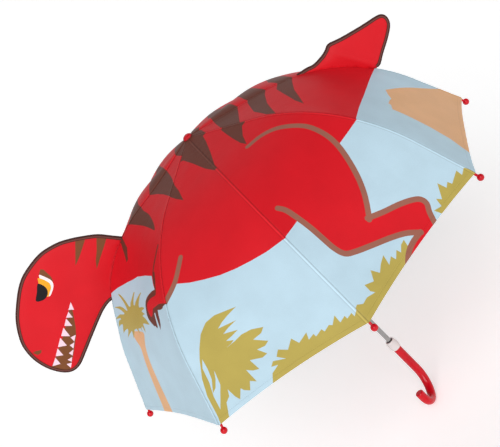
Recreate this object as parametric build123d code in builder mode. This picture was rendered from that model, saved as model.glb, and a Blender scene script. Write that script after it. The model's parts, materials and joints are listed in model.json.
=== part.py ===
from build123d import *
import os
from math import acos, atan2, cos, degrees, hypot, radians, sin, tan

# Children's stick umbrella with a sewn animal head and tail, open.
# Millimetres. +Z runs up the shaft to the ferrule, the head is on the -X side and the tail
# on the +X side. The origin is on the shaft's axis at the middle of the handle's straight grip.

# ---------------------------------------------------------------- driving dimensions
rib_count = 8

# the canopy's seam line, from the apex down to the rib tips
apex_height = 519.0
crown_slope = 13.7
crown_run = 130.0
bend_radius = 275.0
tip_slope = 65.0
tip_run = 90.0
fabric = 0.8
seam_gap = 0.4
hem_rise = 6.0
apex_hole_clearance = 0.6

# shaft
shaft_radius = 4.0
shaft_wall = 0.7
shaft_top_stand = 0.5

# rib: a steel channel to just past the stretcher, then a sprung round rod
fabric_clearance = 1.0
channel_wall = 0.6
channel_skirt = 1.4
channel_past_saddle = 12.0
rod_radius = 1.1
rod_seat = 3.0
rod_clearance = 0.3
rod_past_hem = 4.0
eye_radius = 1.7
eye_clearance = 0.3
rib_eye_thickness = 1.6
eye_run = 6.5

# stretcher
stretcher_station = 165.0
saddle_clearance = 1.1
stretcher_thickness = 2.0
stretcher_height = 3.0
stretcher_flute = 0.5
rivet_radius = 0.65
rivet_head = 1.3
rivet_head_height = 0.5
pin_clearance = 0.1

# crown and runner, the two notched rings that the ribs and stretchers turn in
ring_core = 1.0
ring_rim = 2.5
ring_wire = 0.5
ring_wire_clearance = 0.1
notch_clearance = 0.2
crown_clearance = 0.7
crown_flange = 2.2
crown_skirt = 4.3
runner_floor_clearance = 0.5
runner_flange = 2.4
runner_head = 3.5
runner_sleeve = 34.0
runner_wall = 2.05
runner_lip_overhang = 2.0
runner_lip = 3.0
running_clearance = 0.15
fit_clearance = 0.03
fold_angle = 70.0

# catches, the two sprung blades in the shaft
blade_thickness = 1.0
blade_reach = 2.4
blade_height = 10.0
blade_root = 2.0
blade_leg = 24.0
blade_leg_width = 0.5
slot_clearance = 0.3
catch_gap = 0.4

# rib tips
tip_ball_radius = 5.2
tip_ball_gap = 0.1
tip_wall = 0.75
tip_neck = 8.0
tip_fit = 0.05
closed_tip_clearance = 3.5

# ferrule cap
cap_radius = 7.5
cap_rim = 3.0
cap_dome = 3.5
cap_stem = 12.0
cap_clearance = 0.3

# handle and collar
grip_length = 52.0
handle_radius = 7.0
hook_azimuth = -117.0
hook_lead_radius = 42.0
hook_lead_turn = 68.0
hook_radius = 21.0
hook_end = 12.0
handle_end_fillet = 2.0
shaft_seat = 40.0
spigot_wall = 1.8
spigot_length = 12.0
collar_length = 18.0
collar_swell = 2.0
collar_top_step = 0.2
collar_foot_step = 0.8
collar_recess_gap = 2.2
collar_recess = 5.0
pin_radius = 1.0
pin_height = 6.0

# sewn head and tail: flat padded pieces standing on the seams of ribs 5 and 1
applique_thickness = 6.0
applique_lift = 0.6
applique_edge = 1.5
head_from = 187.0
head_to = 289.0
tail_from = 193.0
tail_to = 312.0

# Free outlines as (station along the seam, height off it).
head_outline = [(298, 24), (332, 43), (365, 72), (362, 99), (339, 137), (305, 153), (267, 147),
                (239, 132), (212, 102), (193, 56)]
tail_upper = [(239, 23), (246, 36), (307, 79)]
tail_tip = (319, 80)
tail_lower = [(325, 66), (325, 46), (321, 14)]

# ---------------------------------------------------------------- sizes that follow from these
half_panel = 180.0 / rib_count
half_gap = max(rod_radius, stretcher_thickness / 2) + rod_clearance
channel_width = 2 * (half_gap + channel_wall)
web_low = rod_radius + rod_clearance
web_high = web_low + channel_wall
rib_drop = fabric + fabric_clearance + web_high
channel_end = stretcher_station + channel_past_saddle
saddle_drop = channel_skirt + stretcher_height / 2 + saddle_clearance
notch_root = shaft_radius + ring_core
notch_pivot_radius = notch_root + eye_radius + eye_clearance
ring_radius = notch_pivot_radius + ring_rim
crown_drop = (ring_radius * tan(radians(crown_slope)) / cos(radians(half_panel))
              + fabric + crown_clearance)
pivot_under_flange = eye_radius + eye_clearance
crown_height = crown_flange + pivot_under_flange + crown_skirt
runner_floor = stretcher_height / 2 + runner_floor_clearance
runner_sleeve_radius = shaft_radius + running_clearance + runner_wall
runner_lip_radius = runner_sleeve_radius + runner_lip_overhang
tip_neck_radius = rod_radius + tip_fit + tip_wall
tip_ball_stand = tip_ball_radius + tip_ball_gap
spigot_radius = shaft_radius + spigot_wall
collar_radius = handle_radius + collar_swell
collar_top_radius = handle_radius + collar_top_step
collar_foot_radius = handle_radius + collar_foot_step
collar_recess_radius = shaft_radius + collar_recess_gap


# ---------------------------------------------------------------- the lines that pieces follow
class BentLine:
    """A line in a rib's plane: straight, an arc, then straight again, sloping ever more steeply."""

    def __init__(self, reach, height, slope, run, radius, end_slope, end_run):
        self.reach = reach
        self.height = height
        self.slope = slope
        self.run = run
        self.radius = radius
        self.end_slope = end_slope
        self.arc = radius * radians(end_slope - slope)
        self.length = run + self.arc + end_run

    def slope_at(self, station):
        turned = min(max(station - self.run, 0.0), self.arc)
        return self.slope + degrees(turned / self.radius)

    def at(self, station, lift=0.0):
        start = radians(self.slope)
        now = radians(self.slope_at(station))
        straight = min(station, self.run)
        after = max(station - self.run - self.arc, 0.0)
        reach = self.reach + straight * cos(start)
        height = self.height - straight * sin(start)
        reach += self.radius * (sin(now) - sin(start))
        height -= self.radius * (cos(start) - cos(now))
        reach += after * cos(now) + lift * sin(now)
        height += lift * cos(now) - after * sin(now)
        return reach, height


def follow(line, start, end, lift):
    """Draw a line's stretch between two stations, lifted off it."""
    bends = [s for s in (line.run, line.run + line.arc) if start < s < end]
    stops = [start, *bends, end]
    for a, b in zip(stops, stops[1:]):
        middle = (a + b) / 2
        if line.run < middle < line.run + line.arc:
            ThreePointArc(line.at(a, lift), line.at(middle, lift), line.at(b, lift))
        else:
            Line(line.at(a, lift), line.at(b, lift))


def band(line, start, end, low, high):
    """The face between two lifts of a line."""
    with BuildLine() as outline:
        follow(line, start, end, low)
        follow(line, start, end, high)
        Line(line.at(start, low), line.at(start, high))
        Line(line.at(end, low), line.at(end, high))
    make_face(outline.line)


seam = BentLine(0.0, apex_height, crown_slope, crown_run, bend_radius, tip_slope, tip_run)

# The rib starts at its pivot in the crown and runs into an arc that is parallel to the seam's.
crown_top = apex_height - crown_drop
crown_pivot_z = crown_top - crown_flange - pivot_under_flange
bend_reach = crown_run * cos(radians(crown_slope)) - bend_radius * sin(radians(crown_slope))
bend_height = (apex_height - crown_run * sin(radians(crown_slope))
               - bend_radius * cos(radians(crown_slope)))
rib_bend_radius = bend_radius - rib_drop
to_bend = hypot(bend_reach - notch_pivot_radius, crown_pivot_z - bend_height)
bend_phase = degrees(atan2(bend_reach - notch_pivot_radius, crown_pivot_z - bend_height))
rib_slope = degrees(acos(rib_bend_radius / to_bend)) - bend_phase
rib_run = to_bend * sin(radians(rib_slope + bend_phase))
rib = BentLine(notch_pivot_radius, crown_pivot_z, rib_slope, rib_run, rib_bend_radius,
               tip_slope, tip_run + rod_past_hem)

# The stretcher is as long as the rib from pivot to saddle, so the runner goes straight down.
saddle = rib.at(stretcher_station, -saddle_drop)
stretcher_length = hypot(saddle[0] - notch_pivot_radius, crown_pivot_z - saddle[1])
open_slope = degrees(atan2(crown_pivot_z - saddle[1], saddle[0] - notch_pivot_radius))
runner_pivot_z = crown_pivot_z - 2 * stretcher_length * sin(radians(open_slope))
runner_travel = (2 * stretcher_length * sin(radians(open_slope + fold_angle))
                 - 2 * stretcher_length * sin(radians(open_slope)))

# The rod bends at the channel's mouth until its tip lies beside the collar.
flex = rib.at(channel_end)
rod_tip = rib.at(rib.length)
closed_tip_reach = collar_radius + tip_ball_radius + closed_tip_clearance
flex_radius = hypot(flex[0] - notch_pivot_radius, crown_pivot_z - flex[1])
flex_slope = degrees(atan2(crown_pivot_z - flex[1], flex[0] - notch_pivot_radius))
closed_flex_reach = notch_pivot_radius + flex_radius * cos(radians(flex_slope + fold_angle))
rod_chord = hypot(rod_tip[0] - flex[0], flex[1] - rod_tip[1])
rod_slope = degrees(atan2(flex[1] - rod_tip[1], rod_tip[0] - flex[0]))
closed_rod_slope = degrees(acos((closed_tip_reach - closed_flex_reach) / rod_chord))
flex_angle = fold_angle - (closed_rod_slope - rod_slope)

runner_foot = runner_pivot_z - runner_floor - runner_flange - runner_sleeve - runner_lip
rib_azimuths = [360.0 * k / rib_count for k in range(rib_count)]
os.makedirs("parts", exist_ok=True)


def save(part, name):
    part.label = name
    export_step(part, f"parts/{name}.step")


def save_around(part, name, first_azimuth=0.0):
    """One copy of a piece for each rib."""
    for number, azimuth in enumerate(rib_azimuths, start=1):
        save(part.rotate(Axis.Z, azimuth + first_azimuth), f"{name}_{number}")


# ---------------------------------------------------------------- shaft
handle_top = grip_length / 2
shaft_bore = shaft_radius - shaft_wall
shaft_foot = handle_top - shaft_seat
shaft_top = apex_height + shaft_top_stand
upper_blade_top = runner_foot - catch_gap
window_middle = runner_foot + runner_lip + runner_sleeve / 2
lower_blade_foot = window_middle - runner_travel - blade_height / 2
slot_width = blade_thickness + 2 * slot_clearance
blade_middles = [upper_blade_top - blade_height / 2, lower_blade_foot + blade_height / 2]
pin_z = handle_top + pin_height

with BuildPart() as shaft_tube:
    with BuildSketch(Plane.XY.offset(shaft_foot)):
        Circle(shaft_radius)
        Circle(shaft_bore, mode=Mode.SUBTRACT)
    extrude(amount=shaft_top - shaft_foot)
    for middle in blade_middles:
        with BuildSketch(Plane.XZ.offset(-shaft_radius - 1)):
            with Locations((0, middle)):
                SlotCenterToCenter(blade_height, slot_width, rotation=90)
        extrude(amount=shaft_radius + 1, mode=Mode.SUBTRACT)
    with Locations(Plane.XZ.offset(-2 * shaft_radius)):
        with Locations((0, pin_z)):
            Cylinder(pin_radius + pin_clearance, 4 * shaft_radius, mode=Mode.SUBTRACT,
                     align=(Align.CENTER, Align.CENTER, Align.MIN))
save(shaft_tube.part, "shaft_tube")


# ---------------------------------------------------------------- crown and its wire
def notches(thickness):
    """The radial notches of a ring, as sketched on the ring's own plane."""
    width = thickness + 2 * notch_clearance
    with PolarLocations(0, rib_count):
        with Locations(((notch_root + 2 * ring_radius) / 2, 0)):
            Rectangle(2 * ring_radius - notch_root, width)


def wire_groove(height):
    """The groove that a ring's wire lies in, open to the outside."""
    inner = notch_pivot_radius - ring_wire - ring_wire_clearance
    with BuildSketch(Plane.XY.offset(height)) as groove:
        Circle(2 * ring_radius)
        Circle(inner, mode=Mode.SUBTRACT)
    extrude(groove.sketch, amount=ring_wire + ring_wire_clearance, both=True, mode=Mode.SUBTRACT)


with BuildPart() as crown:
    with BuildSketch(Plane.XY.offset(crown_top)):
        Circle(ring_radius)
        Circle(shaft_radius + fit_clearance, mode=Mode.SUBTRACT)
    extrude(amount=-crown_height)
    with BuildSketch(Plane.XY.offset(crown_top - crown_flange)):
        notches(rib_eye_thickness)
    extrude(amount=-crown_height, mode=Mode.SUBTRACT)
    wire_groove(crown_pivot_z)
save(crown.part, "crown")


def ring_wire_at(height):
    """A closed ring of wire through the eyes of eight ribs or stretchers."""
    with BuildSketch(Plane.XZ) as section:
        with Locations((notch_pivot_radius, height)):
            Circle(ring_wire)
    revolve(section.sketch, axis=Axis.Z)


with BuildPart() as crown_wire:
    ring_wire_at(crown_pivot_z)
save(crown_wire.part, "crown_wire")

# ---------------------------------------------------------------- runner and its wire
runner_base = runner_pivot_z - runner_floor
runner_shoulder = runner_base - runner_flange
runner_bore = shaft_radius + running_clearance

with BuildPart() as runner:
    with BuildSketch(Plane.XY.offset(runner_pivot_z + runner_head)):
        Circle(ring_radius)
    extrude(amount=runner_shoulder - runner_pivot_z - runner_head)
    with BuildSketch(Plane.XY.offset(runner_base)):
        notches(stretcher_thickness)
    extrude(amount=runner_floor + 2 * runner_head, mode=Mode.SUBTRACT)
    wire_groove(runner_pivot_z)
    with BuildSketch(Plane.XY.offset(runner_shoulder)):
        Circle(runner_sleeve_radius)
    extrude(amount=-runner_sleeve)
    with BuildSketch(Plane.XY.offset(runner_foot)):
        Circle(runner_lip_radius)
    extrude(amount=runner_lip)
    fillet(runner.edges().filter_by(GeomType.CIRCLE).filter_by(
        lambda edge: abs(edge.radius - runner_lip_radius) < 0.01), runner_lip / 3)
    with BuildSketch(Plane.XY.offset(runner_foot - 1)):
        Circle(runner_bore)
    extrude(amount=runner_pivot_z + runner_head - runner_foot + 2, mode=Mode.SUBTRACT)
    with BuildSketch(Plane.XZ.offset(-runner_sleeve_radius - 1)):
        with Locations((0, window_middle)):
            SlotCenterToCenter(blade_height + 2, slot_width, rotation=90)
    extrude(amount=runner_sleeve_radius + 1, mode=Mode.SUBTRACT)
save(runner.part, "runner")

with BuildPart() as runner_wire:
    ring_wire_at(runner_pivot_z)
save(runner_wire.part, "runner_wire")


# ---------------------------------------------------------------- catches
def catch_blade(shoulder, rising):
    """A sprung blade with its flat shoulder at one end and a ramp towards the other."""
    side = 1 if rising else -1
    nose = shaft_radius + blade_reach
    with BuildSketch(Plane.YZ) as side_view:
        with BuildLine():
            Polyline((blade_root, shoulder), (nose, shoulder),
                     (nose, shoulder + side * blade_height / 5),
                     (shaft_radius, shoulder + side * blade_height),
                     (blade_root, shoulder + side * blade_height), close=True)
        make_face()
        with Locations((blade_root, shoulder)):
            Rectangle(blade_leg_width, blade_leg, align=(Align.MIN, Align.MAX if rising else Align.MIN))
    extrude(side_view.sketch, amount=blade_thickness / 2, both=True)


with BuildPart() as upper_catch:
    catch_blade(upper_blade_top, rising=False)
save(upper_catch.part, "upper_catch")

with BuildPart() as lower_catch:
    catch_blade(lower_blade_foot, rising=True)
save(lower_catch.part, "lower_catch")

# ---------------------------------------------------------------- ferrule cap
cap_rim_top = apex_height + cap_rim - cap_radius * tan(radians(crown_slope)) + cap_clearance
dome_radius = (cap_radius ** 2 + cap_dome ** 2) / (2 * cap_dome)
dome_centre = cap_rim_top + cap_dome - dome_radius
half_dome = atan2(cap_radius, cap_rim_top - dome_centre) / 2
cap_bore = shaft_radius + fit_clearance
cap_seat = shaft_top + cap_clearance
stem_radius = shaft_bore - fit_clearance


def above_canopy(reach):
    return apex_height + cap_clearance - reach * tan(radians(crown_slope))


with BuildPart() as ferrule_cap:
    with BuildSketch(Plane.XZ):
        with BuildLine():
            Polyline((0, cap_rim_top + cap_dome), (0, shaft_top - cap_stem),
                     (stem_radius, shaft_top - cap_stem), (stem_radius, cap_seat),
                     (cap_bore, cap_seat), (cap_bore, above_canopy(cap_bore)),
                     (cap_radius, above_canopy(cap_radius)), (cap_radius, cap_rim_top))
            ThreePointArc((cap_radius, cap_rim_top),
                          (dome_radius * sin(half_dome), dome_centre + dome_radius * cos(half_dome)),
                          (0, cap_rim_top + cap_dome))
        make_face()
    revolve(axis=Axis.Z)
save(ferrule_cap.part, "ferrule_cap")

# ---------------------------------------------------------------- ribs
with BuildPart() as rib_channel:
    with BuildSketch(Plane.XZ):
        with Locations(rib.at(0)):
            Circle(eye_radius)
        band(rib, 0, eye_run + 2, -eye_radius, eye_radius)
        with Locations(rib.at(0)):
            Circle(ring_wire + pin_clearance, mode=Mode.SUBTRACT)
    extrude(amount=rib_eye_thickness / 2, both=True)
    with BuildSketch(Plane.XZ):
        band(rib, eye_run, channel_end, -channel_skirt, web_high)
        with Locations(saddle):
            Circle(rivet_head + channel_wall)
        band(rib, stretcher_station - rivet_head - channel_wall,
             stretcher_station + rivet_head + channel_wall, -saddle_drop, 0)
    extrude(amount=channel_width / 2, both=True)
    with BuildSketch(Plane.XZ):
        band(rib, eye_run + 2, channel_end + 1, -2 * saddle_drop, web_low)
    extrude(amount=half_gap, both=True, mode=Mode.SUBTRACT)
    with BuildSketch(Plane.XZ):
        with Locations(saddle):
            Circle(rivet_radius)
    extrude(amount=channel_width / 2 + rivet_head_height, both=True)
    for side in (-1, 1):
        with BuildSketch(Plane.XZ.offset(side * channel_width / 2)):
            with Locations(saddle):
                Circle(rivet_head)
        extrude(amount=side * rivet_head_height)
save_around(rib_channel.part, "rib_channel")

with BuildPart() as rib_rod:
    with BuildLine(Plane.XZ):
        follow(rib, channel_end - rod_seat, rib.length, 0)
    rod_start = rib.at(channel_end - rod_seat)
    start_slope = radians(rib.slope_at(channel_end - rod_seat))
    with BuildSketch(Plane(origin=(rod_start[0], 0, rod_start[1]), x_dir=(0, 1, 0),
                           z_dir=(cos(start_slope), 0, -sin(start_slope)))):
        Circle(rod_radius)
    sweep()
save_around(rib_rod.part, "rib_rod")

end_slope = radians(tip_slope)
tip_plane = Plane(origin=(rod_tip[0], 0, rod_tip[1]), x_dir=(0, 1, 0),
                  z_dir=(cos(end_slope), 0, -sin(end_slope)))

with BuildPart() as rib_tip:
    with Locations(tip_plane):
        with Locations((0, 0, tip_ball_stand)):
            Sphere(tip_ball_radius)
        with Locations((0, 0, -tip_neck)):
            Cylinder(tip_neck_radius, tip_neck + tip_ball_stand,
                     align=(Align.CENTER, Align.CENTER, Align.MIN))
            Cylinder(rod_radius + tip_fit, tip_neck + tip_fit, mode=Mode.SUBTRACT,
                     align=(Align.CENTER, Align.CENTER, Align.MIN))
save_around(rib_tip.part, "rib_tip")

# ---------------------------------------------------------------- stretchers
runner_pivot = (notch_pivot_radius, runner_pivot_z)
stretcher_tilt = degrees(atan2(saddle[1] - runner_pivot_z, saddle[0] - notch_pivot_radius))
stretcher_middle = ((saddle[0] + runner_pivot[0]) / 2, (saddle[1] + runner_pivot_z) / 2)
flute_length = stretcher_length - 4 * stretcher_height

with BuildPart() as stretcher:
    with BuildSketch(Plane.XZ):
        with Locations(stretcher_middle):
            SlotCenterToCenter(stretcher_length, stretcher_height, rotation=stretcher_tilt)
        with Locations(saddle):
            Circle(rivet_radius + pin_clearance, mode=Mode.SUBTRACT)
        with Locations(runner_pivot):
            Circle(ring_wire + pin_clearance, mode=Mode.SUBTRACT)
    extrude(amount=stretcher_thickness / 2, both=True)
    for side in (-1, 1):
        with BuildSketch(Plane.XZ.offset(side * stretcher_thickness / 2)):
            with Locations(stretcher_middle):
                SlotCenterToCenter(flute_length, stretcher_height / 2, rotation=stretcher_tilt)
        extrude(amount=-side * stretcher_flute, mode=Mode.SUBTRACT)
save_around(stretcher.part, "stretcher")

# ---------------------------------------------------------------- canopy panels
bend_stations = [seam.run + seam.arc * k / 8 for k in range(9)]
panel_end_slope = atan2(sin(end_slope), cos(end_slope) * cos(radians(half_panel)))


def panel_point(station, depth):
    """A point of a panel's middle line: the seam's, drawn in to the middle of its chord."""
    slope = radians(seam.slope_at(station))
    reach, height = seam.at(station)
    narrowing = cos(radians(half_panel))
    middle_slope = atan2(sin(slope), cos(slope) * narrowing)
    return reach * narrowing - depth * sin(middle_slope), height - depth * cos(middle_slope)


def panel_edge(depth):
    """The panel's middle line from the apex to the hem, at a depth under its outer face."""
    points = [panel_point(station, depth) for station in bend_stations]
    end = panel_point(seam.length, depth)
    start = panel_point(0, depth)
    first = Vector(points[0][0] - start[0], points[0][1] - start[1])
    last = Vector(end[0] - points[-1][0], end[1] - points[-1][1])
    Line(start, points[0])
    Spline(*points, tangents=(first.normalized(), last.normalized()))
    Line(points[-1], end)


with BuildPart() as canopy_panel:
    with BuildSketch(Plane.XZ):
        with BuildLine():
            panel_edge(0)
            panel_edge(fabric)
            Line(panel_point(0, 0), panel_point(0, fabric))
            Line(panel_point(seam.length, 0), panel_point(seam.length, fabric))
        make_face()
    extrude(amount=seam.at(seam.length)[0] / 2, both=True)
    for side in (-1, 1):
        across = radians(90 + half_panel)
        outward = Vector(cos(across), side * sin(across))
        split(bisect_by=Plane(origin=outward * (-seam_gap / 2), z_dir=outward), keep=Keep.BOTTOM)
    with BuildSketch(Plane.XY.offset(apex_height)):
        Circle(shaft_radius + apex_hole_clearance)
    extrude(amount=-4 * crown_drop, both=True, mode=Mode.SUBTRACT)
    hem = panel_point(seam.length, 0)
    half_hem = seam.at(seam.length)[0] * sin(radians(half_panel))
    with BuildSketch(Plane(origin=(hem[0], 0, hem[1]), x_dir=(0, 1, 0),
                           z_dir=(sin(panel_end_slope), 0, cos(panel_end_slope)))):
        with BuildLine():
            ThreePointArc((-half_hem, 0), (0, hem_rise), (half_hem, 0))
            Line((-half_hem, 0), (half_hem, 0))
        make_face()
    extrude(amount=4 * fabric, both=True, mode=Mode.SUBTRACT)
save_around(canopy_panel.part, "canopy_panel", first_azimuth=half_panel)


# ---------------------------------------------------------------- sewn head and tail
def off_seam(points):
    return [seam.at(station, height) for station, height in points]


with BuildPart() as head:
    with BuildSketch(Plane.XZ):
        with BuildLine():
            follow(seam, head_from, head_to, applique_lift)
            neck = seam.at(head_from, applique_lift)
            jaw = seam.at(head_to, applique_lift)
            Spline(jaw, *off_seam(head_outline), neck)
        make_face()
    extrude(amount=applique_thickness / 2, both=True)
    chamfer(head.edges().filter_by(Plane.XZ), applique_edge)
save(head.part.rotate(Axis.Z, 180), "head")

with BuildPart() as tail:
    with BuildSketch(Plane.XZ):
        with BuildLine():
            follow(seam, tail_from, tail_to, applique_lift)
            root = seam.at(tail_from, applique_lift)
            base = seam.at(tail_to, applique_lift)
            upper = Polyline(root, *off_seam(tail_upper))
            lower = Polyline(*off_seam(tail_lower), base)
            ThreePointArc(upper @ 1, *off_seam([tail_tip]), lower @ 0)
        make_face()
    extrude(amount=applique_thickness / 2, both=True)
    chamfer(tail.edges().filter_by(Plane.XZ), applique_edge)
save(tail.part, "tail")

# ---------------------------------------------------------------- handle, pin and collar
hook_x = Vector(cos(radians(hook_azimuth)), sin(radians(hook_azimuth)))
hook_plane = Plane(origin=(0, 0, 0), x_dir=hook_x, z_dir=hook_x.cross(Vector(0, 0, 1)))

with BuildPart() as handle:
    with BuildLine(hook_plane):
        grip = Line((0, handle_top), (0, -grip_length / 2))
        lead = JernArc(start=grip @ 1, tangent=grip % 1, radius=hook_lead_radius,
                       arc_size=hook_lead_turn)
        bow = JernArc(start=lead @ 1, tangent=lead % 1, radius=hook_radius,
                      arc_size=180 - hook_lead_turn)
        Line(bow @ 1, (bow @ 1) + (bow % 1) * hook_end)
    with BuildSketch(Plane.XY.offset(handle_top)):
        Circle(handle_radius)
    sweep()
    hook_face = handle.faces().filter_by(Axis.Z).sort_by(
        lambda face: Vector(face.center().X, face.center().Y).length)[-1]
    fillet(hook_face.edges(), handle_end_fillet)
    with BuildSketch(Plane.XY.offset(handle_top)):
        Circle(spigot_radius)
    extrude(amount=spigot_length)
    with BuildSketch(Plane.XY.offset(handle_top + spigot_length)):
        Circle(shaft_radius + fit_clearance)
    extrude(amount=-(spigot_length + shaft_seat + cap_clearance), mode=Mode.SUBTRACT)
    with BuildSketch(Plane.XZ):
        with Locations((0, pin_z)):
            Circle(pin_radius + fit_clearance)
    extrude(amount=2 * spigot_radius, both=True, mode=Mode.SUBTRACT)
save(handle.part, "handle")

with BuildPart() as handle_pin:
    with BuildSketch(Plane.XZ):
        with Locations((0, pin_z)):
            Circle(pin_radius)
    extrude(amount=spigot_radius - fit_clearance, both=True)
save(handle_pin.part, "handle_pin")

collar_top = handle_top + collar_length
with BuildPart() as collar:
    with BuildSketch(Plane.XZ):
        with BuildLine():
            Polyline((collar_foot_radius, handle_top), (spigot_radius + pin_clearance, handle_top),
                     (spigot_radius + pin_clearance, handle_top + spigot_length + pin_clearance),
                     (shaft_radius + fit_clearance, handle_top + spigot_length + pin_clearance),
                     (shaft_radius + fit_clearance, collar_top - collar_recess),
                     (collar_recess_radius, collar_top - collar_recess),
                     (collar_recess_radius, collar_top), (collar_top_radius, collar_top))
            ThreePointArc((collar_top_radius, collar_top),
                          (collar_radius, handle_top + 0.45 * collar_length),
                          (collar_foot_radius, handle_top))
        make_face()
    revolve(axis=Axis.Z)
save(collar.part, "collar")

print(f"rib tip reach {rod_tip[0]:.1f}, tip plane {rod_tip[1] - apex_height:.1f} under the apex")
print(f"stretcher {stretcher_length:.1f}, open slope {open_slope:.2f}, travel {runner_travel:.1f}")
print(f"flex angle {flex_angle:.2f} over a fold of {fold_angle:.0f}")
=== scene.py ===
import json
from math import cos, pi, radians, sin

import bpy
import numpy as np
from mathutils import Matrix, Vector
from mathutils.geometry import delaunay_2d_cdt


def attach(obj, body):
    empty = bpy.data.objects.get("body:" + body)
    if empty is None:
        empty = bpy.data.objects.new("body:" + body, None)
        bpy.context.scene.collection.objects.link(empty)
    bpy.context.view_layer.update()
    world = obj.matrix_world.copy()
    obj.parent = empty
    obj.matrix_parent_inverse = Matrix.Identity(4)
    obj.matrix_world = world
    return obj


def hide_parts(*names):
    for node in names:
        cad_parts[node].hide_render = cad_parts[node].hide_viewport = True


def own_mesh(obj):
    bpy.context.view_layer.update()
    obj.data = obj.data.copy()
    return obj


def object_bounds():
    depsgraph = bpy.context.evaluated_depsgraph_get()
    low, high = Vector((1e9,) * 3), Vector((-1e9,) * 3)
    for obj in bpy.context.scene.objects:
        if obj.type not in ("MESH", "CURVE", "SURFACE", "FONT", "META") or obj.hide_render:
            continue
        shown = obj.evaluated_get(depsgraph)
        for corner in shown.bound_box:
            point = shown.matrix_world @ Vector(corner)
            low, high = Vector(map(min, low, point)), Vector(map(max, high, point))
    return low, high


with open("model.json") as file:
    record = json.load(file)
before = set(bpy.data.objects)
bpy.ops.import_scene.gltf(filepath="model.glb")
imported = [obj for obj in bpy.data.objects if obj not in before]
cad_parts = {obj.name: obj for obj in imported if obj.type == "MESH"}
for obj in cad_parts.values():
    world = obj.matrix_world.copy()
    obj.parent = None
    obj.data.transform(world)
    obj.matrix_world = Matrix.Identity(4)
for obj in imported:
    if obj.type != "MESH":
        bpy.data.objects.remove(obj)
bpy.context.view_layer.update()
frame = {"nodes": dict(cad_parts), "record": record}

# Lengths below are in millimetres in the row frame until they are put into a mesh.
MM = 0.001
APEX = 519.0
RIBS = 8
GORE = 360.0 / RIBS
HALF = radians(GORE / 2)
CROWN_SLOPE, CROWN_RUN, BEND_RADIUS = radians(13.7), 130.0, 275.0
TIP_SLOPE, TIP_RUN = radians(65.0), 90.0
ARC = BEND_RADIUS * (TIP_SLOPE - CROWN_SLOPE)
SEAM_LENGTH = CROWN_RUN + ARC + TIP_RUN
HEM_RISE = 6.0
CLOTH = 0.35
SEAM_ROUND = 9.0
FELL_INSET, FELL_WIDTH, FELL_HEIGHT = 0.3, 4.2, 0.5
PUCKER_PITCH, PUCKER_HEIGHT, PUCKER_REACH = 13.0, 0.16, 7.0
HEM_STITCH = 7.0
HEM_FOLD = 9.0
FAR_BULGE, FAR_BULGE_END = 9.5, 320.0
NECK_PULL = 11.0
HEAD_GORES = (4, 5)


# ------------------------------------------------------------------ lines and surfaces
def slope_at(station):
    """How steeply the seam falls: even at the crown, then a round bend, then even again."""
    return CROWN_SLOPE + np.clip(station - CROWN_RUN, 0, ARC) / BEND_RADIUS


def seam_at(station, lift=0.0):
    """Reach from the shaft and height of a point of a rib's seam, at a distance from the apex."""
    station = np.asarray(station, float)
    now = slope_at(station)
    before = np.minimum(station, CROWN_RUN)
    after = np.maximum(station - CROWN_RUN - ARC, 0)
    reach = (before * cos(CROWN_SLOPE) + BEND_RADIUS * (np.sin(now) - sin(CROWN_SLOPE))
             + after * np.cos(now) + lift * np.sin(now))
    height = (APEX - before * sin(CROWN_SLOPE) - BEND_RADIUS * (cos(CROWN_SLOPE) - np.cos(now))
              - after * np.sin(now) + lift * np.cos(now))
    return reach, height


def half_width(station):
    """Half of a gore's width, from its middle to a seam."""
    return seam_at(station)[0] * sin(HALF)


def hem_station(across):
    """The hem curves up a little between two ribs."""
    share = np.clip(np.abs(across) / half_width(SEAM_LENGTH), 0, 1)
    return SEAM_LENGTH - HEM_RISE * (1 - share ** 2)


def step_up(value, start, end):
    """0 up to the start and 1 from the end, with a soft step between them."""
    share = np.clip((value - start) / (end - start), 0, 1)
    return share * share * (3 - 2 * share)


def neck_lift(station):
    """How far the weight of the head pulls the neck seam off its rib."""
    return NECK_PULL * step_up(station, 60, 215) * step_up(-station, -332, -235)


def relief(gore, station, across):
    """How far the stretched cloth stands off the straight lines between its ribs."""
    slope = slope_at(station)
    half = half_width(station)
    edge = np.maximum(half - np.abs(across), 0)
    hem = hem_station(across) - station
    turn = np.sin(slope) * sin(HALF)
    fold = np.maximum(SEAM_ROUND * turn * 1.15 - edge, 0)
    off = -fold ** 2 / (2 * SEAM_ROUND)
    off -= 0.35 * np.exp(-(edge / 0.7) ** 2)
    felled = (step_up(edge, FELL_INSET, FELL_INSET + 0.9)
              * step_up(-edge, -FELL_WIDTH - 1.0, -FELL_WIDTH) * (across > 0))
    off += FELL_HEIGHT * felled * step_up(station, 20, 40)
    pucker = np.sin(2 * pi * station / PUCKER_PITCH + 1.7 * gore + 1.3 * np.sin(station / 31.0))
    off += PUCKER_HEIGHT * pucker * np.exp(-edge / PUCKER_REACH) * np.clip(station / 60.0, 0, 1)
    calm = np.clip(edge / 25.0, 0, 1) * np.clip(station / 80.0, 0, 1)
    off += calm * (0.55 * np.sin(station / 37.0 + across / 29.0 + gore)
                   + 0.40 * np.sin(station / 53.0 - across / 41.0 + 2.1 * gore)
                   + 0.22 * np.sin(station / 19.0 + across / 47.0 - 1.4 * gore))
    if gore <= 4:
        off += (FAR_BULGE * (1 - (across / half) ** 2)
                * np.sin(pi * np.minimum(station / FAR_BULGE_END, 1)))
    if gore in HEAD_GORES:
        near = np.clip(1 - edge / half, 0, 1) * (across * (4.5 - gore) > 0)
        off += neck_lift(station) * near ** 1.6
    off += CLOTH / (1 + np.exp(np.clip((hem - HEM_FOLD) / 0.5, -40, 40)))
    off -= 0.22 * np.exp(-((hem - HEM_STITCH) / 0.6) ** 2)
    pull = np.exp(-np.maximum(hem, 0) / 14.0) * np.sin(across / 4.6 + gore)
    off += 0.12 * pull * np.clip(edge / 12.0, 0, 1)
    return off


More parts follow.
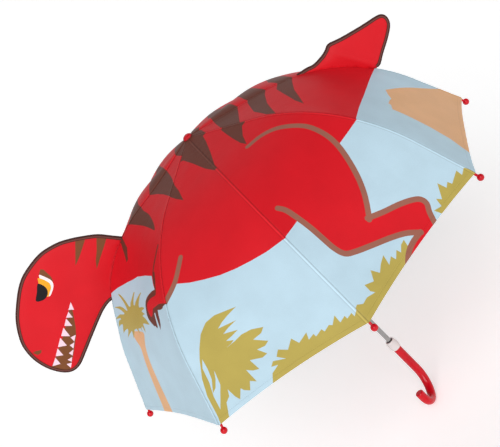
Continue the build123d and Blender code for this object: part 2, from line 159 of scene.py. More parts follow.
def gore_points(gore, station, across, depth):
    """Points of gore 1 to 8 in the row frame, at a depth under its outer face."""
    station, across = np.asarray(station, float), np.asarray(across, float)
    middle = radians((gore - 0.5) * GORE)
    reach, height = seam_at(station)
    slope = slope_at(station)
    tilt = np.arctan2(np.sin(slope), np.cos(slope) * cos(HALF))
    out = relief(gore, station, across) - depth
    rho = reach * cos(HALF) + out * np.sin(tilt)
    return np.stack([rho * cos(middle) - across * sin(middle),
                     rho * sin(middle) + across * cos(middle),
                     height + out * np.cos(tilt)], axis=-1)


def gore_normals(gore, station, across):
    """The outer face's normals, from points a small step away on each side."""
    step = 0.25
    along = (gore_points(gore, station + step, across, 0)
             - gore_points(gore, station - step, across, 0))
    side = gore_points(gore, station, across + step, 0) - gore_points(gore, station, across - step, 0)
    normal = np.cross(side, -along)
    normal /= np.linalg.norm(normal, axis=1)[:, None]
    return normal


# ------------------------------------------------------------------ flat outlines
def smooth(points, closed=False, step=5.0):
    """A curve through the points, as short runs."""
    points = np.array(points, float)
    count = len(points)
    last = count if closed else count - 1
    made = []
    for i in range(last):
        a, b = points[i], points[(i + 1) % count]
        before = points[i - 1] if closed or i else 2 * a - b
        after = points[(i + 2) % count] if closed or i + 2 < count else 2 * b - a
        pieces = max(2, int(np.hypot(*(b - a)) / step) + 1)
        for t in np.arange(pieces) / pieces:
            made.append(0.5 * (2 * a + (b - before) * t
                               + (2 * before - 5 * a + 4 * b - after) * t ** 2
                               + (3 * a - before - 3 * b + after) * t ** 3))
    if not closed:
        made.append(points[-1])
    return np.array(made)


def straight(points, step=5.0):
    """The closed outline through the points, cut into short runs."""
    points = np.array(points, float)
    made = []
    for a, b in zip(points, np.roll(points, -1, axis=0)):
        pieces = int(np.hypot(*(b - a)) / step) + 1
        made += [a + (b - a) * t for t in np.arange(pieces) / pieces]
    return np.array(made)


def stripe(points, width, step=4.0):
    """A painted line with round ends."""
    line = smooth(points, step=step)
    way = np.gradient(line, axis=0)
    way /= np.linalg.norm(way, axis=1)[:, None]
    side = np.stack([-way[:, 1], way[:, 0]], axis=1) * width / 2
    turn = np.linspace(0, pi, 7)[1:-1]
    ends = []
    for point, forward, normal in ((line[-1], way[-1], side[-1]), (line[0], -way[0], -side[0])):
        ends.append([point + normal * cos(a) + forward * sin(a) * width / 2 for a in turn])
    return np.array([*(line + side), *ends[0], *(line - side)[::-1], *ends[1]])


def inside(points, outline):
    """Which points lie inside a closed outline."""
    x, y = points[:, 0][:, None], points[:, 1][:, None]
    x0, y0 = outline[:, 0], outline[:, 1]
    x1, y1 = np.roll(x0, -1), np.roll(y0, -1)
    spans = (y0 > y) != (y1 > y)
    rise = np.where(y1 == y0, 1e-9, y1 - y0)
    return ((spans & (x < (x1 - x0) * (y - y0) / rise + x0)).sum(axis=1) % 2) == 1


def triangulate(loops, lines, points):
    """A flat net of triangles that keeps every loop and line as edges."""
    verts, edges = [], []
    for path, closed in [(p, True) for p in loops] + [(p, False) for p in lines]:
        first = len(verts)
        verts += [Vector(p) for p in path]
        count = len(path)
        edges += [(first + i, first + i + 1) for i in range(count - 1)]
        if closed:
            edges.append((first + count - 1, first))
    verts += [Vector(p) for p in points]
    net = delaunay_2d_cdt(verts, edges, [], 0, 1e-4, False)
    flat = np.array([v[:] for v in net[0]])
    faces = np.array(net[2])
    a, b, c = (flat[faces[:, i]] for i in range(3))
    area = (b[:, 0] - a[:, 0]) * (c[:, 1] - a[:, 1]) - (b[:, 1] - a[:, 1]) * (c[:, 0] - a[:, 0])
    faces = faces[np.abs(area) > 1e-5]
    area = area[np.abs(area) > 1e-5]
    faces[area < 0] = faces[area < 0][:, ::-1]
    return flat, faces


def open_edges(faces, marks):
    """The edges that only one face has, each with its face's mark."""
    edges = {}
    for face, mark in zip(faces, marks):
        for i in range(3):
            edge = (int(face[i]), int(face[(i + 1) % 3]))
            if edge[::-1] in edges:
                del edges[edge[::-1]]
            else:
                edges[edge] = mark
    return edges


# ------------------------------------------------------------------ materials
STITCH_PITCH = 0.0032
SEAM_STITCH = 0.0041
FELL_EDGE_SHADE = 0.0044


def linear(red, green, blue):
    """A screen colour of 0 to 255 as Blender's linear values."""
    made = []
    for value in (red, green, blue):
        value /= 255
        made.append(value / 12.92 if value <= 0.04045 else ((value + 0.055) / 1.055) ** 2.4)
    return (*made, 1.0)


class Nodes:
    """A short way to write a material's nodes."""

    def __init__(self, name):
        self.material = bpy.data.materials.new(name)
        self.material.use_nodes = True
        self.tree = self.material.node_tree
        self.shader = self.tree.nodes["Principled BSDF"]

    def add(self, kind, **settings):
        node = self.tree.nodes.new(kind)
        for key, value in settings.items():
            setattr(node, key, value)
        return node

    def join(self, source, target):
        self.tree.links.new(source, target)

    def math(self, operation, *values):
        node = self.add("ShaderNodeMath", operation=operation)
        for socket, value in zip(node.inputs, values):
            if isinstance(value, (int, float)):
                socket.default_value = value
            else:
                self.join(value, socket)
        return node.outputs[0]

    def noise(self, vector, scale, detail=2.0, roughness=0.5):
        node = self.add("ShaderNodeTexNoise")
        node.inputs["Scale"].default_value = scale
        node.inputs["Detail"].default_value = detail
        node.inputs["Roughness"].default_value = roughness
        self.join(vector, node.inputs["Vector"])
        return node.outputs["Fac"]

    def ramp(self, factor, low, high, start=0.0, end=1.0):
        node = self.add("ShaderNodeMapRange")
        node.inputs["From Min"].default_value = start
        node.inputs["From Max"].default_value = end
        node.inputs["To Min"].default_value = low
        node.inputs["To Max"].default_value = high
        self.join(factor, node.inputs["Value"])
        return node.outputs["Result"]

    def tint(self, factor, colour, darker):
        """The colour, and its darker tone where the factor is 1."""
        node = self.add("ShaderNodeMix", data_type="RGBA")
        node.inputs["A"].default_value = colour
        node.inputs["B"].default_value = tuple(c * darker for c in colour[:3]) + (1.0,)
        self.join(factor, node.inputs["Factor"])
        return node.outputs["Result"]

    def bump(self, height, strength, distance, normal=None):
        node = self.add("ShaderNodeBump")
        node.inputs["Strength"].default_value = strength
        node.inputs["Distance"].default_value = distance
        self.join(height, node.inputs["Height"])
        if normal is not None:
            self.join(normal, node.inputs["Normal"])
        return node.outputs["Normal"]

    def set(self, **values):
        for key, value in values.items():
            self.shader.inputs[key.replace("_", " ")].default_value = value


def woven(name, colour, roughness=0.5, pitch=0.45, banded=None):
    """Printed polyester: a plain weave, uneven dye, dark stitch lines, painted shade in the seam's groove
    and along the felled seam's edge, a painted highlight on the felled seam, and a soft satin sheen.
    """
    n = Nodes(name)
    cloth = n.add("ShaderNodeAttribute", attribute_name="cloth").outputs["Vector"]
    split = n.add("ShaderNodeSeparateXYZ")
    n.join(cloth, split.inputs[0])
    turns = 2 * pi / (pitch * MM)
    warp = n.math("SINE", n.math("MULTIPLY", split.outputs["X"], turns))
    weft = n.math("SINE", n.math("MULTIPLY", split.outputs["Y"], turns))
    weave = n.math("MULTIPLY", warp, weft)
    dye = n.noise(cloth, 22.0, detail=3.0)
    yarn = n.noise(cloth, 900.0, detail=2.0)
    shade = n.math("ADD", n.ramp(dye, 0.0, 0.55, 0.3, 0.7), n.ramp(yarn, 0.0, 0.45, 0.3, 0.7))
    dyed = n.tint(shade, colour, 0.88)
    sewn = n.add("ShaderNodeAttribute", attribute_name="sewn").outputs["Vector"]
    away = n.add("ShaderNodeSeparateXYZ")
    n.join(sewn, away.inputs[0])
    seam, hem, run = away.outputs["X"], away.outputs["Y"], away.outputs["Z"]
    dash = n.math("GREATER_THAN", n.math("SINE", n.math("MULTIPLY", run, 2 * pi / STITCH_PITCH)), -0.35)

    def line(distance, at, width):
        """1 along a thin line at this distance from an edge, fading to 0."""
        gap = n.math("ABSOLUTE", n.math("SUBTRACT", distance, at))
        return n.ramp(gap, 1.0, 0.0, 0.0, width)

    stitch = n.math("MULTIPLY", dash, n.math("MAXIMUM", line(seam, SEAM_STITCH, 0.0005),
                                             line(hem, HEM_STITCH * MM, 0.0005)))
    # Painted shade: the colour darkens in the groove right at the seam and along the felled seam's folded
    # edge, where shade would fall; the stitch dashes are dark marks of their own.
    seam_groove_shade = line(seam, 0.0, 0.0013)
    fold = line(seam, FELL_EDGE_SHADE, 0.0009)
    stitches_and_seam_shade = n.math("MAXIMUM", n.math("MULTIPLY", stitch, 0.5), n.math("MULTIPLY", seam_groove_shade, 0.85))
    stitches_and_seam_shade = n.math("MAXIMUM", stitches_and_seam_shade, n.math("MULTIPLY", fold, 0.45))
    node = n.add("ShaderNodeMix", data_type="RGBA")
    n.join(dyed, node.inputs["A"])
    node.inputs["B"].default_value = tuple(c * 0.45 for c in colour[:3]) + (1.0,)
    n.join(stitches_and_seam_shade, node.inputs["Factor"])
    # Painted highlight: a lighter strip on the raised felled seam, where it would catch the light.
    felled = n.math("MULTIPLY", line(seam, 0.0025, 0.0016), 0.8)
    seam_highlight = n.add("ShaderNodeMix", data_type="RGBA")
    n.join(node.outputs["Result"], seam_highlight.inputs["A"])
    seam_highlight.inputs["B"].default_value = tuple(min(c * 1.22 + 0.012, 1.0) for c in colour[:3]) + (1.0,)
    n.join(felled, seam_highlight.inputs["Factor"])
    shown = seam_highlight.outputs["Result"]
    if banded is not None:
        node = n.add("ShaderNodeMix", data_type="RGBA")
        n.join(shown, node.inputs["A"])
        node.inputs["B"].default_value = banded
        n.join(line(split.outputs["Y"], 0.0016, 0.0016), node.inputs["Factor"])
        shown = node.outputs["Result"]
    n.join(shown, n.shader.inputs["Base Color"])
    creases = n.noise(cloth, 45.0, detail=3.0, roughness=0.6)
    soft = n.bump(creases, 0.2, 0.002)
    sunk = n.bump(stitch, -0.6, 0.0003, soft)
    n.join(n.bump(weave, 0.25, 0.00006, sunk), n.shader.inputs["Normal"])
    n.join(n.ramp(yarn, roughness - 0.06, roughness + 0.08, 0.3, 0.7), n.shader.inputs["Roughness"])
    n.set(Sheen_Weight=0.01, Sheen_Roughness=0.4, Specular_IOR_Level=0.16)
    return n.material


def moulded(name, colour, roughness, specular=0.5, grain=0.15):
    """Moulded plastic: faint flow marks and a fine, slightly uneven surface."""
    n = Nodes(name)
    place = n.add("ShaderNodeTexCoord").outputs["Object"]
    flow = n.noise(place, 35.0, detail=3.0)
    fine = n.noise(place, 700.0, detail=2.0)
    n.join(n.tint(n.ramp(flow, 0.0, 1.0, 0.35, 0.65), colour, 0.88), n.shader.inputs["Base Color"])
    n.join(n.ramp(fine, roughness * 0.8, roughness * 1.25, 0.3, 0.7), n.shader.inputs["Roughness"])
    n.join(n.bump(fine, grain, 0.0002, n.bump(flow, 0.12, 0.001)), n.shader.inputs["Normal"])
    n.set(Specular_IOR_Level=specular)
    return n.material


def metal(name, colour, roughness, scratch):
    """Drawn or plated metal with fine lines along the shaft and slight wear."""
    n = Nodes(name)
    place = n.add("ShaderNodeTexCoord").outputs["Object"]
    stretch = n.add("ShaderNodeMapping")
    stretch.inputs["Scale"].default_value = (1.0, 1.0, 0.04)
    n.join(place, stretch.inputs["Vector"])
    lines = n.noise(stretch.outputs[0], 2600.0, detail=3.0)
    wear = n.noise(place, 160.0, detail=4.0, roughness=0.65)
    n.join(n.tint(n.ramp(wear, 0.0, 1.0, 0.4, 0.75), colour, 0.8), n.shader.inputs["Base Color"])
    n.join(n.ramp(wear, roughness * 0.7, roughness * 1.5, 0.3, 0.7), n.shader.inputs["Roughness"])
    n.join(n.bump(lines, scratch, 0.0001), n.shader.inputs["Normal"])
    n.set(Metallic=1.0)
    return n.material


def lacquered(name, colour, roughness):
    """Black stoved lacquer on steel, with uneven dark patches and a fine rough surface."""
    n = Nodes(name)
    place = n.add("ShaderNodeTexCoord").outputs["Object"]
    peel = n.noise(place, 420.0, detail=2.0)
    dust = n.noise(place, 60.0, detail=4.0)
    n.join(n.tint(n.ramp(dust, 0.0, 1.0, 0.35, 0.7), colour, 0.55), n.shader.inputs["Base Color"])
    n.join(n.ramp(dust, roughness * 0.8, roughness * 1.3, 0.3, 0.7), n.shader.inputs["Roughness"])
    n.join(n.bump(peel, 0.2, 0.0002), n.shader.inputs["Normal"])
    n.set(Specular_IOR_Level=0.5)
    return n.material


PRINT = {
    "sky": woven("print_sky", linear(186, 212, 226)),
    "red": woven("print_red", linear(213, 22, 34)),
    "brown": woven("print_brown", linear(106, 54, 42)),
    "taupe": woven("print_taupe", linear(156, 98, 82)),
    "umber": woven("print_umber", linear(122, 72, 40)),
    "olive": woven("print_olive", linear(182, 163, 82)),
    "sand": woven("print_sand", linear(228, 176, 130)),
    "tooth": woven("print_tooth", linear(244, 210, 224)),
    "white": woven("print_white", linear(248, 232, 234)),
    "amber": woven("print_amber", linear(246, 168, 40)),
    "black": woven("print_black", linear(24, 20, 24)),
}
INKS = list(PRINT)
BINDING = woven("binding_tape", linear(66, 32, 28), roughness=0.6, pitch=0.7,
                banded=linear(122, 74, 66))

# ------------------------------------------------------------------ the canopy's print
# Station from the apex and place across the gore, for the gores on the near side.
ABOVE = [(-10, 220), (-10, -220)]
PRINTS = {
    5: [("red", "straight", [*ABOVE, (290, -140), (273, -110), (264, -87), (258, -70), (254, -54),
                             (250, -39), (247, -24), (242, -5), (241, 26), (242, 53), (255, 59),
                             (262, 64), (262, 100), (255, 140)]),
        ("brown", "straight", [(-10, -60), (31, -40), (33, -10), (37, 16), (37, 60), (-10, 60)]),
        ("brown", "straight", [(62, -90), (50, -41), (65, -10), (74, 9), (83, 24), (91, 37),
                               (100, 60), (120, 70), (114, 47), (107, 13), (104, -11), (104, -39),
                               (106, -90)]),
        ("brown", "smooth", [(112, -80), (122, -55), (133, -34), (141, -9), (156, 19), (170, 34),
                             (166, 14), (161, -12), (158, -49), (156, -80)]),
        ("brown", "straight", [(170, -90), (181, -64), (196, -45), (214, -39), (219, -42),
                               (204, -52), (189, -65), (186, -90)]),
        ("sand", "smooth", [(329, -52), (326, -30), (328, -6), (340, -10), (353, -16), (379, -21),
                            (413, -22), (440, -22), (475, -24), (475, -52), (453, -50), (417, -46),
                            (384, -42), (354, -37), (342, -46)]),
        ("olive", "straight", [(267, -73), (269, -66), (274, -58), (280, -51), (287, -43), (288, -38),
                               (282, -35), (275, -28), (269, -23), (265, -19), (266, -16),
                               (272, -20), (279, -23), (285, -24), (286, -20), (281, -16),
                               (275, -8), (270, 0), (266, 7), (267, 10), (273, 3), (279, -1),
                               (285, -4), (289, -3), (288, 8), (289, 17), (291, 16), (293, 8),
                               (295, 5), (297, 12), (299, 17), (300, 9), (302, 6), (305, 14),
                               (308, 19), (315, 27), (314, 14), (313, 6), (314, 1), (320, 3),
                               (328, 3), (323, -1), (318, -5), (320, -9), (327, -8), (321, -13),
                               (322, -23), (330, -20), (322, -31), (324, -40), (339, -53),
                               (330, -52), (326, -53), (331, -64), (338, -77), (331, -71),
                               (325, -67), (323, -69), (326, -80), (331, -90), (324, -87),
                               (317, -83), (316, -84), (317, -92), (321, -100), (315, -98),
                               (310, -93), (308, -83), (306, -86), (308, -105), (304, -95),
                               (300, -83), (300, -68), (298, -65), (295, -71), (291, -80),
                               (289, -93), (288, -92), (287, -75), (289, -66), (294, -55),
                               (294, -51), (288, -54), (281, -59), (275, -65), (270, -71)]),
        ("brown", "straight", [(236, 55), (248, 59), (256, 62), (262, 64), (265, 52), (269, 42),
                               (274, 32), (280, 26), (286, 24), (293, 24), (300, 24), (307, 28),
                               (312, 35), (317, 43), (316, 46), (320, 52), (317, 55), (307, 54),
                               (297, 53), (296, 56), (305, 58), (316, 61), (322, 62), (314, 67),
                               (306, 68), (299, 67), (292, 67), (292, 76), (290, 84), (287, 87),
                               (284, 95), (280, 130), (236, 130)]),
        ("red", "smooth", [(228, 66), (250, 67), (266, 68), (271, 64), (274, 51), (278, 40),
                           (282, 33), (288, 30), (294, 31), (300, 35), (303, 39), (299, 46),
                           (291, 50), (288, 58), (285, 68), (283, 76), (282, 100), (278, 120),
                           (228, 120)]),
        ("brown", "stripe", [(196, 61), (217, 59), (236, 57), (252, 61)], 4.0)],
    6: [("red", "straight", [*ABOVE, (262, -130), (281, -112), (281, -100), (272, -82), (268, -70),
                             (279, -51), (289, -28), (298, -4), (304, 20), (308, 45), (311, 71),
                             (312, 130)]),
        ("brown", "straight", [(-10, -60), (40, -40), (46, -26), (51, -12), (80, 7), (114, 28),
                               (136, 45), (138, 80), (-10, 60)]),
        ("brown", "straight", [(87, -60), (90, -33), (100, -30), (117, -24), (147, -17),
                               (132, -30), (115, -42), (113, -60)]),
        ("taupe", "stripe", [(237, -48), (246, -55), (261, -68), (269, -78), (276, -90),
                             (283, -104)], 8.0),
        ("olive", "straight", [(475, -132), (456, -127), (424, -122), (400, -113), (377, -99),
                               (364, -89), (349, -75), (340, -59), (339, -42), (343, -25),
                               (347, -8), (350, -26), (353, -38), (357, -48), (362, -19),
                               (364, -34), (367, -46), (374, -25), (376, -37), (377, -49),
                               (382, -39), (384, -45), (385, -55), (384, -38), (382, -25),
                               (384, -9), (391, 8), (396, 0), (397, -15), (410, 2), (413, -6),
                               (411, -19), (423, -10), (424, -19), (417, -37), (434, -33),
                               (431, -42), (425, -50), (446, -47), (440, -55), (451, -63),
                               (446, -70), (441, -73), (453, -83), (446, -87), (432, -90),
                               (441, -94), (446, -103), (475, -118)]),
        ("sky", "straight", [(449, -117), (429, -114), (410, -107), (389, -103), (378, -95),
                             (394, -97), (408, -101), (425, -112), (421, -104), (411, -96),
                             (400, -90), (421, -95)]),
        ("olive", "straight", [(480, -34), (462, -30), (449, -21), (444, -7), (441, -17), (436, -10),
                               (443, 8), (434, -2), (427, 6), (435, 18), (425, 31), (436, 37),
                               (430, 54), (440, 51), (437, 61), (442, 62), (438, 74), (443, 76),
                               (439, 86), (442, 90), (433, 100), (445, 101), (441, 111),
                               (446, 112), (443, 121), (449, 122), (442, 131), (448, 150),
                               (480, 170)])],
    7: [("olive", "straight", [(480, -170), (446, -150), (440, -124), (446, -118), (445, -108),
                               (450, -95), (444, -98), (433, -96), (440, -84), (428, -74),
                               (440, -69), (434, -58), (430, -46), (444, -52), (439, -41),
                               (447, -40), (440, -29), (447, -28), (441, -19), (440, -11),
                               (452, -16), (480, -30)]),
        ("olive", "straight", [(480, 54), (466, 54), (450, 49), (455, 61), (443, 65), (450, 70),
                               (432, 85), (446, 88), (442, 96), (449, 98), (443, 118), (453, 118),
                               (449, 128), (456, 132), (480, 160)]),
        ("red", "straight", [*ABOVE, (311, -130), (310, -75), (330, -76), (352, -79), (373, -81),
                             (389, -78), (398, -66), (411, -44), (425, -20), (438, -2), (452, 10),
                             (454, -8), (457, -26), (475, -46), (480, 30), (463, 33), (446, 45),
                             (436, 53), (426, 53), (418, 45), (407, 27), (396, 5), (386, -16),
                             (383, -10), (361, 9), (340, 24), (315, 38), (290, 50), (287, 130)]),
        ("brown", "straight", [(-10, 60), (37, 30), (38, 5), (56, -4), (90, -24), (123, -45),
                               (136, -54), (138, -80), (-10, -60)]),
        ("brown", "straight", [(68, 50), (70, 20), (92, 13), (116, 6), (141, 0), (155, 0),
                               (132, 14), (113, 31), (111, 60)]),
        ("taupe", "stripe", [(161, -4), (169, 17), (184, 34), (204, 46), (227, 55), (247, 57),
                             (270, 55), (291, 49), (315, 38), (340, 24), (361, 9), (378, -7),
                             (387, -17)], 8.0),
        ("taupe", "stripe", [(384, -17), (396, 4), (407, 26), (418, 43), (427, 51), (437, 51),
                             (447, 43), (470, 30)], 8.0),
        ("taupe", "stripe", [(276, -75), (288, -72), (308, -73), (330, -75), (352, -78),
                             (372, -80), (388, -77), (398, -65), (411, -43), (425, -19), (438, -1),
                             (453, 12)], 8.0),
        ("taupe", "stripe", [(452, 12), (452, -7), (457, -25), (472, -48)], 8.0)],
    8: [("red", "straight", [*ABOVE, (284, -150), (285, -112), (290, -62), (298, -7), (306, 53),
                             (314, 101), (318, 150)]),
        ("brown", "straight", [(-10, -60), (37, -40), (34, -12), (26, 3), (12, 14), (-10, 40)]),
        ("brown", "straight", [(44, 40), (46, 16), (56, -6), (67, -28), (69, -60), (111, -60),
                               (101, -38), (94, 0), (89, 28), (88, 60)]),
        ("brown", "straight", [(105, 70), (107, 30), (124, -20), (149, -52), (165, -60),
                               (152, -25), (146, -7), (139, 30), (137, 80)]),
        ("brown", "straight", [(158, 90), (159, 34), (173, 7), (193, -28), (208, -46), (197, -10),
                               (190, 12), (184, 50), (182, 90)]),
        ("sand", "straight", [(331, 29), (380, 80), (428, 127), (440, 170), (490, 170), (490, -96),
                              (466, -77), (432, -55), (401, -46), (369, -42), (341, -37),
                              (339, -22), (335, -19), (337, -6), (340, 2), (335, 14)])],
}

TOP, FLEX, BEND = 16.0, 177.0, 320.0
TOP_START, FLEX_START, BEND_START = 6.0, 174.5, 306.0
BREAKS = (TOP_START, TOP, FLEX_START, FLEX, BEND_START, BEND)
TUCK = 0.7


def gore_net(number):
    """One gore laid flat: points as (station, across), triangles and the ink of each."""
    shapes = []
    for ink, kind, points, *width in PRINTS[number]:
        if kind == "stripe":
            outline = stripe(points, *width)
        else:
            outline = smooth(points, closed=True) if kind == "smooth" else straight(points)
        shapes.append((ink, outline))
    rows = np.linspace(TOP_START, SEAM_LENGTH, 108)
    edge = [(s, -half_width(s)) for s in rows]
    hem_across = np.linspace(-half_width(SEAM_LENGTH), half_width(SEAM_LENGTH), 61)[1:-1]
    hem = [(hem_station(w), w) for w in hem_across]
    back = [(s, half_width(s)) for s in rows[::-1]]
    border = np.array(edge + hem + back)
    lines = [[(s, w) for w in np.linspace(-half_width(s), half_width(s), max(3, int(half_width(s) / 4)))]
             for s in BREAKS]
    lines.append([(s, 0.0) for s in np.append(np.arange(TOP_START, 458, 6.0), hem_station(0.0))])
    points = []
    for s in np.arange(TOP_START + 2, SEAM_LENGTH - 2, 4.0):
        for inset in (0.5, 1.1, 2.6, 4.2, 5.3, 8.0, 12.0):
            w = half_width(s) - inset
            if w > 2:
                points += [(s, w), (s, -w)]
    for w in np.arange(-118, 119, 5.0):
        points += [(hem_station(w) - d, w) for d in (1.0, 5.0, 6.4, 7.0, 7.6, 9.0, 10.5)]
    for s in np.arange(24.0, SEAM_LENGTH - 16, 7.0):
        for w in np.arange(-112, 113, 7.0):
            if abs(w) < half_width(s) - 15:
                points.append((s, w + 0.5))
    flat, faces = triangulate([border] + [o for _, o in shapes], lines, points)
    centre = flat[faces].mean(axis=1)
    kept = inside(centre, border)
    faces, centre = faces[kept], centre[kept]
    ink = np.full(len(faces), INKS.index("sky"))
    for name, outline in shapes:
        ink[inside(centre, outline)] = INKS.index(name)
    return flat, faces, centre, ink


def mesh_object(name, verts, faces, materials, index, normals=None, cloth=None, sewn=None):
    mesh = bpy.data.meshes.new(name)
    mesh.from_pydata((np.asarray(verts) * MM).tolist(), [], [list(map(int, f)) for f in faces])
    for material in materials:
        mesh.materials.append(material)
    mesh.polygons.foreach_set("material_index", np.asarray(index, np.int32))
    mesh.polygons.foreach_set("use_smooth", np.ones(len(mesh.polygons), bool))
    if cloth is not None:
        layer = mesh.attributes.new("cloth", "FLOAT_VECTOR", "POINT")
        flat = np.zeros((len(verts), 3), np.float32)
        flat[:, :2] = np.asarray(cloth)[:, :2] * MM
        layer.data.foreach_set("vector", flat.ravel())
        layer = mesh.attributes.new("sewn", "FLOAT_VECTOR", "POINT")
        away = np.full((len(verts), 3), 1000.0, np.float32) if sewn is None else np.array(sewn)
        layer.data.foreach_set("vector", (away * MM).astype(np.float32).ravel())
    mesh.validate()
    mesh.update()
    if normals is not None:
        mesh.normals_split_custom_set_from_vertices(np.asarray(normals).tolist())
    piece = bpy.data.objects.new(name, mesh)
    bpy.context.scene.collection.objects.link(piece)
    return piece


class Sheets:
    """Thin double-sided cloth gathered from parts of flat nets, ready to be one mesh."""

    def __init__(self):
        self.verts, self.faces, self.ink, self.normals, self.cloth = [], [], [], [], []
        self.sewn = []
        self.count = 0
        self.area = 0.0

    def add(self, gore, flat, faces, ink, side, tuck=0.0):
        """Part of a gore's net, bent to its shape; the felled seam is drawn where side is 1."""
        used, faces = np.unique(faces, return_inverse=True)
        faces = faces.reshape(-1, 3)
        flat = flat[used]
        outer = gore_points(gore, flat[:, 0], flat[:, 1], tuck)
        inner = gore_points(gore, flat[:, 0], flat[:, 1], tuck + CLOTH)
        normal = gore_normals(gore, flat[:, 0], flat[:, 1])
        size = len(flat)
        a, b, c = (outer[faces[:, i]] for i in range(3))
        cross = np.cross(b - a, c - a)
        if (cross * normal[faces[:, 0]]).sum() < 0:
            faces = faces[:, ::-1]
        self.area += np.linalg.norm(cross, axis=1).sum() / 2
        first = self.count
        self.verts += [*outer, *inner]
        self.normals += [*normal, *-normal]
        self.cloth += [*flat[:, ::-1], *flat[:, ::-1]]
        edge = half_width(flat[:, 0]) - np.abs(flat[:, 1])
        hem = hem_station(flat[:, 1]) - flat[:, 0]
        run = np.where(hem < 10, flat[:, 1], flat[:, 0])
        away = np.stack([edge * side, hem, run], axis=1)
        self.sewn += [*away, *away]
        self.faces += [*(faces + first), *(faces[:, ::-1] + first + size)]
        self.ink += [*ink, *ink]
        for (a, b), colour in open_edges(faces, ink).items():
            self.faces.append((first + b, first + a, first + a + size, first + b + size))
            self.ink.append(colour)
        self.count += 2 * size

    def piece(self, name):
        used = sorted(set(self.ink))
        materials = [PRINT[INKS[i]] for i in used]
        return mesh_object(name, self.verts, self.faces, materials,
                           [used.index(i) for i in self.ink], self.normals, self.cloth, self.sewn)


def declare_sheet(piece, sheets, *nodes):
    """Work out the flat size of a piece of stretched cloth; nothing is kept, and the nodes it lies on are
    not used.
    """
    flat = np.array(sheets.cloth)
    width, length = (np.ptp(flat, axis=0) * MM).tolist()
    area = sheets.area * MM ** 2
    if area > width * length:
        length = area / width


# Name, first and last station, start of the tuck, slope and anchor of the fold, width kept.
BANDS = [("upper", TOP, FLEX, TOP_START, 15.0, 120.0, 0.20),
         ("middle", FLEX, BEND, FLEX_START, 38.0, 250.0, 0.16),
         ("lower", BEND, SEAM_LENGTH + 1, BEND_START, 60.0, 390.0, 0.08)]
NEAR_GORES = (5, 6, 7, 8)


def canopy_piece(gore, flat, faces, ink, middle, side, band):
    """The cloth between a rib and a gore's middle, over one band of stations."""
    name, start, end, tucked, slope, anchor, keep = band
    rib = gore if side < 0 else gore % RIBS + 1
    mine = middle[:, 1] * side > 0
    shown = mine & (middle[:, 0] > start) & (middle[:, 0] < end)
    under = mine & (middle[:, 0] > tucked) & (middle[:, 0] < start)
    cloth = Sheets()
    cloth.add(gore, flat, faces[shown], ink[shown], side)
    cloth.add(gore, flat, faces[under], ink[under], side, TUCK)
    piece = cloth.piece(f"canopy_{name}_{rib}{'b' if side < 0 else 'a'}")
    declare_sheet(piece, cloth, f"rib_channel_{rib}", f"rib_rod_{rib}")
    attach(piece, f"rib_{rib}" if name == "upper" else f"rib_{rib}_rod")
    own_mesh(piece)
    if name == "upper" and side < 0:
        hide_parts(f"canopy_panel_{gore}")


top_cloth = Sheets()
for number in NEAR_GORES:
    flat, faces, centre, ink = gore_net(number)
    for gore in (number, 9 - number):
        mirror = (1, 1) if gore == number else (1, -1)
        turned, middle = flat * mirror, centre * mirror
        crown = middle[:, 0] < TOP
        top_cloth.add(gore, turned, faces[crown], ink[crown], -1)
        for side in (-1, 1):
            for band in BANDS:
                canopy_piece(gore, turned, faces, ink, middle, side, band)
top = top_cloth.piece("canopy_top")
declare_sheet(top, top_cloth, "crown")
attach(top, "shaft")

# ------------------------------------------------------------------ sewn head and tail
# Reach from the shaft and height over the apex.
HEAD_EDGE = [(175, -41), (185, -28), (200, -9), (220, 7), (235, 17), (248, 24), (263, 29), (279, 32),
             (298, 31), (322, 26), (340, 17), (359, 3), (377, -13), (391, -31), (401, -50),
             (405, -71), (404, -90), (399, -108), (390, -124), (379, -133), (365, -134),
             (344, -126), (319, -115), (293, -104), (276, -98), (262, -96), (252, -98)]
ROOT_DEPTH = 2


def seam_root(stations, lift_at):
    """Points just under a rib's seam, where a padded piece is sewn on."""
    made = []
    for station in stations:
        reach, height = seam_at(station, lift_at(station) - ROOT_DEPTH)
        made.append((float(reach), float(height - APEX)))
    return made


HEAD_BASE = seam_root((265, 255, 243, 228, 213, 198, 187), neck_lift)
HEAD_PRINT = [
    ("umber", "straight", [(231, 22), (229, 9), (240, -2), (249, -11), (256, -18), (241, -12), (229, -6),
                           (213, 2), (212, 12)]),
    ("umber", "straight", [(206, 4), (204, -11), (218, -25), (230, -35), (238, -45), (221, -36),
                           (205, -28), (190, -20), (184, -12)]),
    ("umber", "straight", [(303, 12), (296, 16), (293, 12), (293, -2), (296, -12), (299, 1)]),
    ("white", "smooth", [(303, 11), (299, 1), (297, -8), (300, -15), (307, -20), (317, -23),
                         (318, -12), (311, -2), (306, 8)]),
    ("amber", "smooth", [(308, 9), (304, 1), (302, -8), (305, -15), (312, -19), (319, -22),
                         (320, -12), (315, 0), (311, 6)]),
    ("black", "smooth", [(315, 3), (311, -4), (311, -12), (315, -18), (322, -21), (329, -20),
                         (336, -14), (325, -5)]),
    ("umber", "straight", [(301, -52), (314, -71), (325, -86), (335, -97), (358, -114), (378, -127),
                           (392, -140), (408, -120), (394, -104), (373, -95), (350, -83),
                           (330, -71)]),
    ("umber", "straight", [(399, -68), (394, -69), (386, -74), (390, -77), (396, -76)]),
]
TEETH_UPPER = [((302, -53), (313, -59), (307, -65)), ((315, -61), (324, -65), (317, -72)),
               ((325, -66), (335, -72), (327, -81)), ((338, -73), (350, -80), (341, -90)),
               ((353, -81), (366, -89), (355, -97)), ((368, -90), (379, -97), (370, -104)),
               ((381, -98), (394, -105), (383, -111))]
